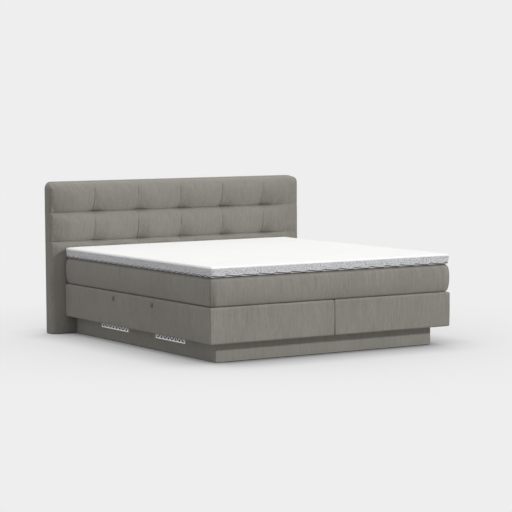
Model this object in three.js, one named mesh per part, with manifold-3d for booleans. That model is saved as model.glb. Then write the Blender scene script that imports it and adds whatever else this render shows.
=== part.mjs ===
import * as THREE from 'three';
import Module from 'manifold-3d';
import { mergeVertices } from 'three/addons/utils/BufferGeometryUtils.js';

// Storage box spring bed, in millimetres, +Z up, origin on the floor under the middle of its box

const wasm = await Module();
wasm.setup();

// Bed and headboard
const bedWidth = 1800;
const bedLength = 2000;
const headboardGap = 5;
const headboardWidth = 2010;
const headboardHeight = 1057;
const headboardDepth = 120;

// Levels
const plinthHeight = 118;
const liftGap = 8;
const boxHeight = 224;
const mattressHeight = 182;
const topperHeight = 68;

// Clearances
const seatGap = 0.3;
const runningClearance = 0.3;
const cutOverrun = 20;

// Plinth
const plinthSideInset = 86;
const plinthFootInset = 96;
const boardThickness = 18;
const dividerThickness = 36;
const floorPanelThickness = 8;
const floorPanelLift = 12;
const glideHeight = 3;
const glideRadius = 12;
const glideEndInset = 60;
const restPadLength = 60;
const restPadEndInset = 150;

// Vent strips in the plinth sides
const ventLength = 384;
const ventOffset = 382;
const ventBottomHeight = 79;
const ventTopMargin = 2;
const ventRailHeight = 7;
const ventEndRail = 5;
const ventBays = 8;
const ventBarWidth = 8;
const ventPlateThickness = 2;

// Box base halves
const halvesGap = 7;
const coverThickness = 12;
const innerCoverThickness = 3;
const topPadThickness = 14;
const baseFrameThickness = 18;
const baseFrameSideWidth = 96;
const baseFrameInnerWidth = 52;
const baseFrameEndOverlap = 10;
const railThickness = 22;
const deckThickness = 15;
const deckSlats = 13;
const deckSlatWidth = 62;
const springUnitHeight = 66;
const boxEdgeRadius = 9;
const boxCornerRadius = 10;

// Pull loops on the left side panel
const loopOffset = 265;
const loopHeadShift = 16;
const loopWidth = 25;
const loopLength = 30;
const loopTopDrop = 28;
const webbingThickness = 2;
const loopInnerGap = 2.4;
const loopStitchedLength = 12;

// Mattress and topper
const mattressInset = 0;
const topperInset = 3;
const mattressEdgeRadius = 32;
const mattressCornerRadius = 22;
const mattressSideBulge = 5;
const mattressWallThickness = 14;
const coreCornerShare = 0.25;
const topperEdgeRadius = 10;
const topperCornerRadius = 20;
const topperSideBulge = 2;
const topperWallThickness = 6;
const topCrown = 3;
const crownReach = 320;
const zipSlit = 3;
const zipEndMargin = 120;

// Headboard pad, seams and tufts
const seamLowHeight = 646;
const seamHighHeight = 848;
const tuftPitch = 345;
const tuftColumns = 5;
const padGroundClearance = 4;
const padEdgeRadius = 24;
const padCornerRadius = 50;
const padWrapThickness = 36;
const padCavityDepth = 57;
const backPanelThickness = 12;
const postWidth = 70;
const postOffset = 400;
const acrossSeamDepth = 12;
const upSeamDepth = 7;
const seamSoftness = 32;
const tuftDepth = 14;
const tuftSoftness = 36;
const seamFadeShares = [0.7, 0.86];
const cellShares = [0, 0.06, 0.18, 0.36, 0.64, 0.82, 0.94];

// Headboard bolts
const boltHeight = 60;
const boltRadius = 4;
const boltHeadRadius = 9;
const boltHeadLength = 5;
const boltPostDepth = 30;

// Lift hinges along the right edge of the plinth
const hingeOffset = 560;
const hingeLength = 160;
const leafWidth = 44;
const leafThickness = 2;
const knuckleRadius = 3.7;
const hingeBoreRadius = 2;
const hingePinRadius = 1.7;
const middleKnuckleShare = 0.4;
const knuckleEndGap = 1;
const hingeOutset = 4;

// Joining plates between the halves
const joiningPlateHalfWidth = 58;
const joiningPlateLength = 70;
const joiningPlateThickness = 2.5;
const joiningPlatePadGap = 140;

// Gas springs, with pivots measured from the lift axis
const gasBasePivotIn = 152;
const gasBasePivotDown = 68;
const gasLidPivotIn = 69;
const gasLidPivotUp = 116;
const gasStandoff = 25;
const gasTubeRadius = 11;
const gasTubeStart = 8;
const gasTubeEnd = 150;
const gasTubeBoreStart = 45;
const gasRodRadius = 4;
const gasRodInnerEnd = 58;
const gasEyeRadius = 12;
const gasEyeWidth = 8;
const gasStudRadius = 4;
const openPivotClearance = 4;
const gasBracketThickness = 3;
const gasBracketWidth = 44;
const gasBracketMargin = 16;
const gasBracketFlange = 40;
const gasStudOverhang = 3;

// Roundness of cylinders, soft corners, edges and crowns
const finePins = 24;
const cornerSteps = 4;
const leastCornerShare = 0.05;
const edgeShares = [0, 0.35, 0.7, 1];
const boxEdgeShares = [0.5, 1];
const crownShares = [0.3, 0.6, 1];

// Levels and edges that follow
const boxBottom = plinthHeight + liftGap;
const boxTop = boxBottom + boxHeight;
const mattressBottom = boxTop + seatGap;
const topperBottom = boxTop + mattressHeight + seatGap;
const footY = -(bedLength + headboardGap + headboardDepth) / 2;
const headY = footY + bedLength;
const midBedY = (footY + headY) / 2;
const headboardFrontY = headY + headboardGap;
const headboardBackY = headboardFrontY + headboardDepth;
const plinthOuterX = bedWidth / 2 - plinthSideInset;
const plinthInnerX = plinthOuterX - boardThickness;
const plinthFootY = footY + plinthFootInset;
const plinthHeadY = headboardFrontY - seatGap;
const plinthFootInnerY = plinthFootY + boardThickness;
const plinthHeadInnerY = plinthHeadY - boardThickness;
const midPlinthY = (plinthFootY + plinthHeadY) / 2;
const plinthBottom = glideHeight + seatGap;
const liftAxisX = plinthOuterX + hingeOutset;
const liftAxisZ = plinthHeight + liftGap / 2;

const bed = new THREE.Group();

// Materials
const looks = {
  fabric: { color: 0x837f76, roughness: 0.95, metalness: 0 },
  darkFabric: { color: 0x2b2a29, roughness: 0.95, metalness: 0 },
  topperFabric: { color: 0xeeeeec, roughness: 0.9, metalness: 0 },
  foam: { color: 0xe8e2cf, roughness: 0.95, metalness: 0 },
  pockets: { color: 0xdcdcd6, roughness: 0.95, metalness: 0 },
  webbing: { color: 0x3a3836, roughness: 0.9, metalness: 0 },
  wood: { color: 0xc6a678, roughness: 0.7, metalness: 0 },
  steel: { color: 0xb9bcbe, roughness: 0.35, metalness: 1 },
  blackSteel: { color: 0x222325, roughness: 0.45, metalness: 0.6 },
  felt: { color: 0x4a4846, roughness: 1, metalness: 0 },
  rubber: { color: 0x1d1d1e, roughness: 0.85, metalness: 0 },
};

function piece(name, look, geometry, group = bed) {
  const mesh = new THREE.Mesh(geometry, new THREE.MeshStandardMaterial(looks[look]));
  mesh.name = name;
  group.add(mesh);
  return mesh;
}

// Box geometry between low and high limits on each axis
function boxBetween(xs, ys, zs) {
  const box = new THREE.BoxGeometry(xs[1] - xs[0], ys[1] - ys[0], zs[1] - zs[0]);
  box.translate((xs[0] + xs[1]) / 2, (ys[0] + ys[1]) / 2, (zs[0] + zs[1]) / 2);
  return box;
}

function slab(name, look, xs, ys, zs) {
  return piece(name, look, boxBetween(xs, ys, zs));
}

// Limits reflected to the left side, or left as they are on the right
function onSide(side, limits) {
  return side > 0 ? limits : [-limits[1], -limits[0]];
}

function around(middle, width) {
  return [middle - width / 2, middle + width / 2];
}

// Cylinder along Y between two limits
function yCylinder(radius, ys) {
  const cylinder = new THREE.CylinderGeometry(radius, radius, ys[1] - ys[0], finePins);
  cylinder.translate(0, (ys[0] + ys[1]) / 2, 0);
  return cylinder;
}

// Cylinder along X between two limits
function xCylinder(radius, xs) {
  const cylinder = new THREE.CylinderGeometry(radius, radius, xs[1] - xs[0], finePins);
  cylinder.rotateZ(Math.PI / 2);
  cylinder.translate((xs[0] + xs[1]) / 2, 0, 0);
  return cylinder;
}

// Boolean work on closed geometries
function toSolid(geometry) {
  const bare = geometry.clone();
  bare.deleteAttribute('normal');
  bare.deleteAttribute('uv');
  const merged = mergeVertices(bare);
  return new wasm.Manifold(new wasm.Mesh({
    numProp: 3,
    vertProperties: new Float32Array(merged.attributes.position.array),
    triVerts: new Uint32Array(merged.index.array),
  }));
}

function toGeometry(solid) {
  const mesh = solid.getMesh();
  const geometry = new THREE.BufferGeometry();
  geometry.setAttribute('position', new THREE.BufferAttribute(mesh.vertProperties, 3));
  geometry.setIndex(new THREE.BufferAttribute(mesh.triVerts, 1));
  return geometry;
}

function joined(...geometries) {
  const [first, ...others] = geometries.map(toSolid);
  return toGeometry(others.reduce((whole, other) => whole.add(other), first));
}

function cut(geometry, ...tools) {
  return toGeometry(tools.map(toSolid).reduce((whole, tool) => whole.subtract(tool), toSolid(geometry)));
}

// Rounded rectangle ring of points at one height
function roundedRing(halfX, halfY, radius, inset, z) {
  const corner = Math.max(radius - inset, radius * leastCornerShare);
  const reachX = halfX - inset - corner;
  const reachY = halfY - inset - corner;
  const points = [];
  for (const [turn, signX, signY] of [[0, 1, 1], [1, -1, 1], [2, -1, -1], [3, 1, -1]]) {
    for (let step = 0; step <= cornerSteps; step += 1) {
      const angle = (turn + step / cornerSteps) * (Math.PI / 2);
      points.push([
        signX * reachX + corner * Math.cos(angle),
        signY * reachY + corner * Math.sin(angle),
        z,
      ]);
    }
  }
  return points;
}

// Closed soft block lofted through rings of [inset, height], bottom to top
function softBlock(xs, ys, radius, profile) {
  const halfX = (xs[1] - xs[0]) / 2;
  const halfY = (ys[1] - ys[0]) / 2;
  const positions = [];
  const indices = [];
  const rings = profile.map(([inset, z]) => roundedRing(halfX, halfY, radius, inset, z));
  const count = rings[0].length;
  rings.forEach((ring) => positions.push(...ring.flat()));
  for (let level = 0; level + 1 < rings.length; level += 1) {
    for (let step = 0; step < count; step += 1) {
      const a = level * count + step;
      const b = level * count + ((step + 1) % count);
      indices.push(a, b, b + count, a, b + count, a + count);
    }
  }
  const bottomCentre = positions.length / 3;
  positions.push(0, 0, profile[0][1]);
  const topCentre = bottomCentre + 1;
  positions.push(0, 0, profile[profile.length - 1][1]);
  const lastRing = (rings.length - 1) * count;
  for (let step = 0; step < count; step += 1) {
    const next = (step + 1) % count;
    indices.push(bottomCentre, next, step);
    indices.push(topCentre, lastRing + step, lastRing + next);
  }
  const geometry = new THREE.BufferGeometry();
  geometry.setAttribute('position', new THREE.Float32BufferAttribute(positions, 3));
  geometry.setIndex(indices);
  geometry.translate((xs[0] + xs[1]) / 2, (ys[0] + ys[1]) / 2, 0);
  return geometry;
}

// Profile of a cushion: flat underside, rounded edges, drawn-in sides and a crowned top
function cushionProfile(bottom, height, radius, bulge, crown) {
  const top = bottom + height - crown;
  const profile = [];
  for (const share of edgeShares) {
    const angle = share * (Math.PI / 2);
    profile.push([bulge + radius * (1 - Math.sin(angle)), bottom + radius * (1 - Math.cos(angle))]);
  }
  profile.push([0, bottom + height / 2]);
  for (const share of [...edgeShares].reverse()) {
    const angle = share * (Math.PI / 2);
    profile.push([bulge + radius * (1 - Math.sin(angle)), top - radius * (1 - Math.cos(angle))]);
  }
  for (const share of crown > 0 ? crownShares : []) {
    profile.push([bulge + radius + crownReach * share, top + crown * Math.sin(share * (Math.PI / 2))]);
  }
  return profile;
}

// Vent strips: a slot milled in the board, behind a plate cut as a row of upright and hanging triangles
const ventTop = plinthHeight - ventTopMargin;
const ventHoleZ = [ventBottomHeight + ventRailHeight, ventTop - ventRailHeight];
const ventHoleLength = ventLength - 2 * ventEndRail;
const vents = [-1, 1].map((end) => ({
  label: end < 0 ? 'foot' : 'head',
  middle: midPlinthY + end * ventOffset,
}));

// Triangular prism along X with a level base and its apex above or below
function triangleTool(xs, baseY, apexY, baseZ, apexZ) {
  const shape = new THREE.Shape();
  shape.moveTo(baseY[0], baseZ);
  shape.lineTo(baseY[1], baseZ);
  shape.lineTo(apexY, apexZ);
  const tool = new THREE.ExtrudeGeometry(shape, { depth: xs[1] - xs[0], bevelEnabled: false });
  const alongX = new THREE.Vector3(1, 0, 0);
  const alongY = new THREE.Vector3(0, 1, 0);
  const alongZ = new THREE.Vector3(0, 0, 1);
  tool.applyMatrix4(new THREE.Matrix4().makeBasis(alongY, alongZ, alongX));
  tool.translate(xs[0], 0, 0);
  return tool;
}

function ventTriangles(vent, xs) {
  const pitch = ventHoleLength / ventBays;
  const width = pitch - 2 * ventBarWidth;
  const [low, high] = ventHoleZ;
  const [start, end] = around(vent.middle, ventHoleLength);
  const tools = [
    triangleTool(xs, [start, start + width / 2], start, high, low),
    triangleTool(xs, [end - width / 2, end], end, high, low),
  ];
  for (let bay = 0; bay < ventBays; bay += 1) {
    const middle = start + pitch * (bay + 1 / 2);
    tools.push(triangleTool(xs, around(middle, width), middle, low, high));
    if (bay > 0) {
      const hanging = start + pitch * bay;
      tools.push(triangleTool(xs, around(hanging, width), hanging, high, low));
    }
  }
  return tools;
}

// Plinth boards

function plinthSide(label, side) {
  const rebateX = plinthOuterX - ventPlateThickness - seatGap;
  const board = boxBetween(
    onSide(side, [plinthInnerX, plinthOuterX]),
    [plinthFootY, plinthHeadY],
    [plinthBottom, plinthHeight],
  );
  const rebates = vents.map((vent) => boxBetween(
    onSide(side, [rebateX, plinthOuterX + cutOverrun]),
    around(vent.middle, ventLength + 2 * seatGap),
    [ventBottomHeight - seatGap, ventTop + seatGap],
  ));
  const slotX = onSide(side, [plinthInnerX - cutOverrun, rebateX + seatGap]);
  const slots = vents.map((vent) => boxBetween(slotX, around(vent.middle, ventHoleLength), ventHoleZ));
  piece(`plinth_${label}_board`, 'fabric', cut(board, ...rebates, ...slots));
  for (const vent of vents) {
    const plateX = onSide(side, [plinthOuterX - ventPlateThickness, plinthOuterX]);
    const throughX = onSide(side, [plinthInnerX, plinthOuterX + cutOverrun]);
    const plate = boxBetween(plateX, around(vent.middle, ventLength), [ventBottomHeight, ventTop]);
    const holes = ventTriangles(vent, throughX);
    piece(`vent_grille_${label}_${vent.label}`, 'steel', cut(plate, ...holes));
  }
}

function plinth() {
  plinthSide('left', -1);
  plinthSide('right', 1);
  const innerX = plinthInnerX - seatGap;
  const boardZ = [plinthBottom, plinthHeight];
  slab('plinth_foot_board', 'fabric', [-innerX, innerX], [plinthFootY, plinthFootInnerY], boardZ);
  const headBoard = boxBetween([-innerX, innerX], [plinthHeadInnerY, plinthHeadY], boardZ);
  piece('plinth_head_board', 'wood', cut(headBoard, ...boltHoles([plinthHeadInnerY, plinthHeadY])));
  const insideY = [plinthFootInnerY + seatGap, plinthHeadInnerY - seatGap];
  slab('storage_divider', 'wood', around(0, dividerThickness), insideY, boardZ);
  for (const [label, side] of [['left', -1], ['right', 1]]) {
    const panelX = onSide(side, [dividerThickness / 2 + seatGap, innerX]);
    const panelZ = [floorPanelLift, floorPanelLift + floorPanelThickness];
    slab(`storage_floor_${label}`, 'wood', panelX, insideY, panelZ);
  }
}

function glide(name, x, y) {
  const disc = new THREE.CylinderGeometry(glideRadius, glideRadius, glideHeight, finePins);
  disc.rotateX(Math.PI / 2);
  const mesh = piece(name, 'felt', disc);
  mesh.position.set(x, y, glideHeight / 2);
}

function plinthGlides() {
  const boardX = plinthOuterX - glideRadius;
  for (const [sideLabel, side] of [['left', -1], ['right', 1]]) {
    glide(`glide_${sideLabel}_foot`, side * boardX, plinthFootY + glideEndInset);
    glide(`glide_${sideLabel}_head`, side * boardX, plinthHeadY - glideEndInset);
  }
}

// Rubber pads that carry the lowered box base
function restPads() {
  const padZ = [plinthHeight, boxBottom - seatGap];
  const ends = [['foot', plinthFootY + restPadEndInset], ['head', plinthHeadY - restPadEndInset]];
  for (const [label, y] of ends) {
    const padY = around(y, restPadLength);
    slab(`rest_pad_left_${label}`, 'rubber', [-plinthOuterX, -plinthInnerX], padY, padZ);
    slab(`rest_pad_middle_${label}`, 'rubber', around(0, dividerThickness), padY, padZ);
  }
}

// Box base halves
const coverInnerX = [halvesGap / 2 + innerCoverThickness, bedWidth / 2 - coverThickness];
const coverInnerY = [footY + coverThickness, headY - coverThickness];
const frameX = [coverInnerX[0] + seatGap, coverInnerX[1] - seatGap];
const frameY = [coverInnerY[0] + seatGap, coverInnerY[1] - seatGap];
const storageY = [plinthFootInnerY + baseFrameEndOverlap, frameY[1] - railThickness];
const railBottom = boxBottom + baseFrameThickness + seatGap;
const coverInnerTop = boxTop - topPadThickness;
const springBottom = coverInnerTop - seatGap - springUnitHeight;
const deckBottom = springBottom - seatGap - deckThickness;

function baseFrame(label, side) {
  const outer = boxBetween(onSide(side, frameX), frameY, [boxBottom, boxBottom + baseFrameThickness]);
  const windowX = [frameX[0] + baseFrameInnerWidth, frameX[1] - baseFrameSideWidth];
  const throughZ = [boxBottom - cutOverrun, boxBottom + baseFrameThickness + cutOverrun];
  const opening = boxBetween(onSide(side, windowX), storageY, throughZ);
  piece(`box_${label}_base_frame`, 'wood', cut(outer, opening));
}

function railFrame(label, side) {
  const railTop = deckBottom - seatGap;
  const outer = boxBetween(onSide(side, frameX), frameY, [railBottom, railTop]);
  const insideX = [frameX[0] + railThickness, frameX[1] - railThickness];
  const insideY = [frameY[0] + railThickness, frameY[1] - railThickness];
  const throughZ = [railBottom - cutOverrun, railTop + cutOverrun];
  piece(`box_${label}_rails`, 'wood', cut(outer, boxBetween(onSide(side, insideX), insideY, throughZ)));
}

function slattedDeck(label, side) {
  const deck = boxBetween(onSide(side, frameX), frameY, [deckBottom, deckBottom + deckThickness]);
  const gapX = [frameX[0] + railThickness, frameX[1] - railThickness];
  const pitch = (frameY[1] - frameY[0] - deckSlatWidth) / (deckSlats - 1);
  const throughZ = [deckBottom - cutOverrun, deckBottom + deckThickness + cutOverrun];
  const gaps = [];
  for (let slat = 0; slat + 1 < deckSlats; slat += 1) {
    const start = frameY[0] + deckSlatWidth + slat * pitch;
    gaps.push(boxBetween(onSide(side, gapX), [start, start + pitch - deckSlatWidth], throughZ));
  }
  piece(`box_${label}_slatted_deck`, 'wood', cut(deck, ...gaps));
}

function boxCover(label, side) {
  const outerX = onSide(side, [halvesGap / 2, bedWidth / 2]);
  const profile = [[0, boxBottom], [0, boxTop - boxEdgeRadius]];
  for (const share of boxEdgeShares) {
    const angle = share * (Math.PI / 2);
    profile.push([
      boxEdgeRadius * (1 - Math.cos(angle)),
      boxTop - boxEdgeRadius * (1 - Math.sin(angle)),
    ]);
  }
  const shell = softBlock(outerX, [footY, headY], boxCornerRadius, profile);
  const hollow = boxBetween(onSide(side, coverInnerX), coverInnerY, [boxBottom - cutOverrun, coverInnerTop]);
  piece(`box_${label}_cover`, 'fabric', cut(shell, hollow));
}

function boxHalf(label, side) {
  baseFrame(label, side);
  railFrame(label, side);
  slattedDeck(label, side);
  const unitZ = [springBottom, springBottom + springUnitHeight];
  slab(`box_${label}_spring_unit`, 'pockets', onSide(side, frameX), frameY, unitZ);
  boxCover(label, side);
}

function joiningPlates() {
  const plateZ = [boxBottom - seatGap - joiningPlateThickness, boxBottom - seatGap];
  const padMiddleReach = (plinthHeadY - plinthFootY) / 2 - restPadEndInset;
  const reach = padMiddleReach - (restPadLength + joiningPlateLength) / 2 - joiningPlatePadGap;
  for (const [label, end] of [['foot', -1], ['head', 1]]) {
    const plateY = around(midPlinthY + end * reach, joiningPlateLength);
    slab(`joining_plate_${label}`, 'steel', around(0, 2 * joiningPlateHalfWidth), plateY, plateZ);
  }
}

// Webbing folded once, stitched flat to the panel along its upper end
function pullLoop(name, middleY) {
  const outerX = 2 * webbingThickness + loopInnerGap;
  const shape = new THREE.Shape();
  shape.moveTo(0, 0);
  shape.lineTo(0, -loopLength);
  shape.lineTo(outerX, -loopLength);
  shape.lineTo(outerX, -webbingThickness);
  shape.lineTo(outerX - webbingThickness, 0);
  const inside = new THREE.Path();
  inside.moveTo(webbingThickness, -loopStitchedLength);
  inside.lineTo(outerX - webbingThickness, -loopStitchedLength);
  inside.lineTo(outerX - webbingThickness, webbingThickness - loopLength);
  inside.lineTo(webbingThickness, webbingThickness - loopLength);
  shape.holes.push(inside);
  const loop = new THREE.ExtrudeGeometry(shape, { depth: loopWidth, bevelEnabled: false });
  loop.rotateX(Math.PI / 2);
  loop.rotateZ(Math.PI);
  const mesh = piece(name, 'webbing', loop);
  mesh.position.set(-bedWidth / 2 - seatGap, middleY - loopWidth / 2, boxTop - loopTopDrop);
}

// Padded cover with a core inside and a zip slit low in its head end
function coverAndCore(name, look, coreLook, xs, ys, radius, profile, wall) {
  const bottom = profile[0][1];
  const top = Math.max(...profile.map(([, z]) => z)) - topCrown;
  const coreInset = wall + radius * coreCornerShare;
  const innerX = [xs[0] + coreInset, xs[1] - coreInset];
  const innerY = [ys[0] + coreInset, ys[1] - coreInset];
  const innerZ = [bottom + wall, top - wall];
  const slitX = [innerX[0] + zipEndMargin, innerX[1] - zipEndMargin];
  const slitZ = [innerZ[0] + zipSlit, innerZ[0] + 2 * zipSlit];
  const slit = boxBetween(slitX, [innerY[1] - zipSlit, ys[1] + cutOverrun], slitZ);
  const shell = cut(softBlock(xs, ys, radius, profile), boxBetween(innerX, innerY, innerZ), slit);
  piece(`${name}_cover`, look, shell);
  slab(
    `${name}_core`,
    coreLook,
    [innerX[0] + seatGap, innerX[1] - seatGap],
    [innerY[0] + seatGap, innerY[1] - seatGap],
    [innerZ[0] + seatGap, innerZ[1] - seatGap],
  );
}

function mattressAndTopper() {
  const limits = (inset) => [
    [inset - bedWidth / 2, bedWidth / 2 - inset],
    [footY + inset, headY - inset],
  ];
  const mattressProfile = cushionProfile(
    mattressBottom,
    mattressHeight - seatGap,
    mattressEdgeRadius,
    mattressSideBulge,
    0,
  );
  const topperProfile = cushionProfile(
    topperBottom,
    topperHeight,
    topperEdgeRadius,
    topperSideBulge,
    topCrown,
  );
  coverAndCore(
    'mattress', 'fabric', 'pockets', ...limits(mattressInset),
    mattressCornerRadius, mattressProfile, mattressWallThickness,
  );
  coverAndCore(
    'topper', 'topperFabric', 'foam', ...limits(topperInset),
    topperCornerRadius, topperProfile, topperWallThickness,
  );
}

// Headboard pad: a grid over six columns and three rows of upholstery
function gridLines(edges) {
  const lines = [];
  for (let cell = 0; cell + 1 < edges.length; cell += 1) {
    cellShares.forEach((share) => lines.push(edges[cell] + share * (edges[cell + 1] - edges[cell])));
  }
  lines.push(edges[edges.length - 1]);
  return lines;
}

function tuftXs() {
  const xs = [];
  for (let column = 0; column < tuftColumns; column += 1) {
    xs.push((column - (tuftColumns - 1) / 2) * tuftPitch);
  }
  return xs;
}

function easedShare(value, low, high) {
  const share = Math.min(Math.max((value - low) / (high - low), 0), 1);
  return share * share * (3 - 2 * share);
}

function edgeDrop(distance) {
  const inside = Math.min(distance, padEdgeRadius);
  return padEdgeRadius - Math.sqrt(padEdgeRadius ** 2 - (padEdgeRadius - inside) ** 2);
}

function padDepth(x, z) {
  const fullDepth = headboardDepth;
  const seamZs = [seamLowHeight, seamHighHeight];
  const fade = easedShare(z, seamFadeShares[0] * seamLowHeight, seamFadeShares[1] * seamLowHeight);
  let depth = fullDepth;
  for (const seamZ of seamZs) {
    depth -= acrossSeamDepth * Math.exp(-Math.abs(z - seamZ) / seamSoftness);
  }
  for (const tuftX of tuftXs()) {
    depth -= fade * upSeamDepth * Math.exp(-Math.abs(x - tuftX) / seamSoftness);
    for (const seamZ of seamZs) {
      const reach = Math.hypot(x - tuftX, z - seamZ) / tuftSoftness;
      depth -= tuftDepth * Math.exp(-reach * reach);
    }
  }
  const sideDrop = edgeDrop(headboardWidth / 2 - Math.abs(x));
  const topDrop = edgeDrop(headboardHeight - z);
  return depth - Math.min(sideDrop + topDrop, padEdgeRadius);
}

function cornerPullIn(z) {
  const above = Math.max(z - (headboardHeight - padCornerRadius), 0);
  return padCornerRadius - Math.sqrt(padCornerRadius ** 2 - above ** 2);
}

function padShell() {
  const half = headboardWidth / 2;
  const xs = gridLines([-half, ...tuftXs(), half]);
  const zs = gridLines([padGroundClearance, seamLowHeight, seamHighHeight, headboardHeight]);
  const outermost = tuftXs()[tuftColumns - 1];
  const placed = (x, z) => {
    const beyond = Math.max(Math.abs(x) - outermost, 0) / (half - outermost);
    return x - Math.sign(x) * beyond * cornerPullIn(z);
  };
  const positions = [];
  const indices = [];
  const columns = xs.length;
  zs.forEach((z) => xs.forEach((x) => positions.push(placed(x, z), headboardBackY - padDepth(x, z), z)));
  const at = (column, row) => row * columns + column;
  for (let row = 0; row + 1 < zs.length; row += 1) {
    for (let column = 0; column + 1 < columns; column += 1) {
      const [a, b] = [at(column, row), at(column + 1, row)];
      const [c, d] = [at(column + 1, row + 1), at(column, row + 1)];
      indices.push(a, b, c, a, c, d);
    }
  }
  const rim = [];
  xs.forEach((x, column) => rim.push(at(column, 0)));
  zs.slice(1).forEach((z, row) => rim.push(at(columns - 1, row + 1)));
  for (let column = columns - 2; column >= 0; column -= 1) {
    rim.push(at(column, zs.length - 1));
  }
  for (let row = zs.length - 2; row >= 1; row -= 1) {
    rim.push(at(0, row));
  }
  const firstBack = positions.length / 3;
  const backOutline = rim.map((index) => {
    const [x, z] = [positions[index * 3], positions[index * 3 + 2]];
    positions.push(x, headboardBackY, z);
    return new THREE.Vector2(x, z);
  });
  rim.forEach((index, step) => {
    const next = (step + 1) % rim.length;
    indices.push(index, firstBack + step, firstBack + next, index, firstBack + next, rim[next]);
  });
  THREE.ShapeUtils.triangulateShape(backOutline, []).forEach(([a, b, c]) => {
    indices.push(firstBack + a, firstBack + c, firstBack + b);
  });
  const geometry = new THREE.BufferGeometry();
  geometry.setAttribute('position', new THREE.Float32BufferAttribute(positions, 3));
  geometry.setIndex(indices);
  return geometry;
}

// Bolts through the plinth's head board and the pad into the posts
function boltHoles(ys) {
  return [-1, 1].map((side) => {
    const hole = yCylinder(boltRadius + runningClearance, [ys[0] - cutOverrun, ys[1] + cutOverrun]);
    hole.translate(side * postOffset, 0, boltHeight);
    return hole;
  });
}

function headboard() {
  const cavityFrontY = headboardBackY - padCavityDepth;
  const cavityX = headboardWidth / 2 - padWrapThickness;
  const cavityTop = headboardHeight - padWrapThickness;
  const cavity = boxBetween(
    [-cavityX, cavityX],
    [cavityFrontY, headboardBackY + cutOverrun],
    [padGroundClearance - cutOverrun, cavityTop],
  );
  const holes = boltHoles([headboardFrontY, cavityFrontY]);
  piece('headboard_pad', 'fabric', cut(padShell(), cavity, ...holes));
  const panelX = cavityX - seatGap;
  const panelY = [headboardBackY - backPanelThickness, headboardBackY];
  const insideZ = [padGroundClearance, cavityTop - seatGap];
  slab('headboard_back_panel', 'darkFabric', [-panelX, panelX], panelY, insideZ);
  const postY = [cavityFrontY + seatGap, panelY[0] - seatGap];
  const boltEndY = postY[0] + boltPostDepth;
  for (const [label, side] of [['left', -1], ['right', 1]]) {
    const postX = around(side * postOffset, postWidth);
    const post = boxBetween(postX, postY, [glideHeight + seatGap, insideZ[1]]);
    const hole = yCylinder(boltRadius + runningClearance, [postY[0] - cutOverrun, boltEndY + seatGap]);
    hole.translate(side * postOffset, 0, boltHeight);
    piece(`headboard_post_${label}`, 'wood', cut(post, hole));
    const headEndY = plinthHeadInnerY - seatGap;
    const bolt = joined(
      yCylinder(boltHeadRadius, [headEndY - boltHeadLength, headEndY]),
      yCylinder(boltRadius, [headEndY - boltHeadLength / 2, boltEndY]),
    );
    piece(`headboard_bolt_${label}`, 'steel', bolt).position.set(side * postOffset, 0, boltHeight);
    glide(`glide_headboard_${label}`, side * postOffset, (postY[0] + postY[1]) / 2);
  }
}

// Lift hinge, built about its own pin axis
function liftHinge(label, middleY) {
  const plateEnd = -leafWidth - hingeOutset;
  const middleHalf = (hingeLength * middleKnuckleShare) / 2;
  const lidKnuckle = [-middleHalf, middleHalf];
  const baseKnuckles = [
    [-hingeLength / 2, -middleHalf - knuckleEndGap],
    [middleHalf + knuckleEndGap, hingeLength / 2],
  ];
  const leafTop = liftGap / 2 - seatGap;
  const lidPlateZ = [leafTop - leafThickness, leafTop];
  const basePlateZ = [-leafTop, leafThickness - leafTop];
  const clearX = -knuckleRadius - runningClearance;
  const bore = yCylinder(hingeBoreRadius, [-hingeLength, hingeLength]);
  const notch = (ys) => boxBetween(
    [clearX, knuckleRadius + cutOverrun],
    [ys[0] - knuckleEndGap, ys[1] + knuckleEndGap],
    [-cutOverrun, cutOverrun],
  );
  const span = [-hingeLength / 2, hingeLength / 2];
  const lidPlate = cut(boxBetween([plateEnd, 0], span, lidPlateZ), ...baseKnuckles.map(notch));
  const basePlate = cut(boxBetween([plateEnd, 0], span, basePlateZ), notch(lidKnuckle));
  const lidLeaf = cut(joined(lidPlate, yCylinder(knuckleRadius, lidKnuckle)), bore);
  const baseTubes = baseKnuckles.map((ys) => yCylinder(knuckleRadius, ys));
  const baseLeaf = cut(joined(basePlate, ...baseTubes), bore);
  const parts = [
    [`hinge_base_leaf_${label}`, baseLeaf],
    [`hinge_lid_leaf_${label}`, lidLeaf],
    [`hinge_pin_${label}`, yCylinder(hingePinRadius, span)],
  ];
  for (const [name, geometry] of parts) {
    piece(name, 'steel', geometry).position.set(liftAxisX, middleY, liftAxisZ);
  }
}

// Gas spring at one end of the bed, in the plane across the bed
const gasBaseX = liftAxisX - gasBasePivotIn;
const gasBaseZ = liftAxisZ - gasBasePivotDown;
const gasLidX = liftAxisX - gasLidPivotIn;
const gasLidZ = liftAxisZ + gasLidPivotUp;

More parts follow.
